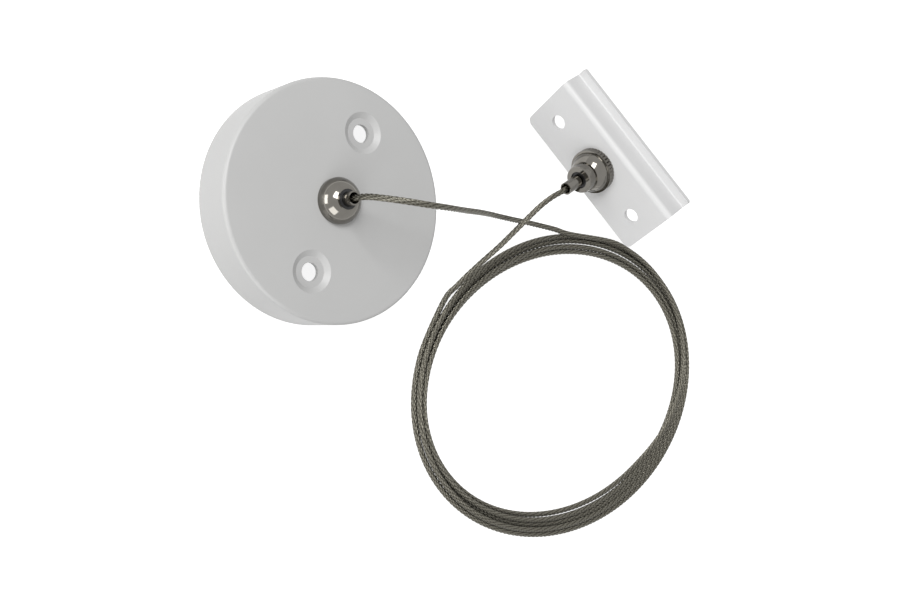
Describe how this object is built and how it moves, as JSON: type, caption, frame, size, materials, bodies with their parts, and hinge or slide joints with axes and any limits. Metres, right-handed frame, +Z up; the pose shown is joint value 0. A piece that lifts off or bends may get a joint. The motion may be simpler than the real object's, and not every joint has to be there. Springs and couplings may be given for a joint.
{
  "type": "wire rope suspension kit",
  "caption": "Round ceiling canopy, coiled wire rope and stepped bracket, with a spring-loaded push-to-release cable gripper at each end of the rope.",
  "frame": {"origin": "centre of the canopy's rim, on the surface that the kit lies on", "axes": "+Z up along the canopy's axis, from its rim to its face; +X from the canopy towards the coil and the bracket"},
  "size_m": [0.1744, 0.135, 0.0372],
  "materials": {
    "canopy_coat": "satin powder coat",
    "bracket_coat": "satin powder coat",
    "nickel": "polished nickel plate",
    "black_part": "black moulded plastic",
    "zinc_steel": "zinc plated steel",
    "wire_rope": "stranded stainless wire rope"
  },
  "bodies": {
    "root": {"canopy_cap": "canopy_coat", "canopy_dome_nut": "nickel", "canopy_collar": "black_part", "canopy_grip_body": "nickel", "canopy_washer": "zinc_steel", "canopy_hex_nut": "nickel", "canopy_grip_spring": "zinc_steel", "canopy_end_plug": "black_part", "canopy_end_ferrule": "nickel", "wire_end_canopy": "wire_rope", "bracket_plate": "bracket_coat", "bracket_knurled_nut": "nickel", "bracket_collar": "black_part", "bracket_grip_body": "nickel", "bracket_washer": "zinc_steel", "bracket_hex_nut": "nickel", "bracket_grip_spring": "zinc_steel", "bracket_end_plug": "black_part", "bracket_end_ferrule": "nickel", "wire_end_bracket": "wire_rope", "wire_canopy_lead": "wire_rope", "wire_coil": "wire_rope", "wire_bracket_lead": "wire_rope"},
    "canopy_release": {"canopy_plunger": "nickel", "canopy_grip_balls": "zinc_steel"},
    "bracket_release": {"bracket_plunger": "nickel", "bracket_grip_balls": "zinc_steel"}
  },
  "joints": [
    {"name": "canopy_plunger_slide", "type": "slide", "parent": "root", "child": "canopy_release", "axis": [0, 0, -1], "range_m": [0, 0.0015], "stiffness_N_per_m": 400, "springref_m": -0.003, "deforming": ["canopy_grip_spring"]},
    {"name": "bracket_plunger_slide", "type": "slide", "parent": "root", "child": "bracket_release", "axis": [0.8664, 0.4864, -0.1126], "range_m": [0, 0.0015], "stiffness_N_per_m": 400, "springref_m": -0.003, "deforming": ["bracket_grip_spring"]}
  ]
}
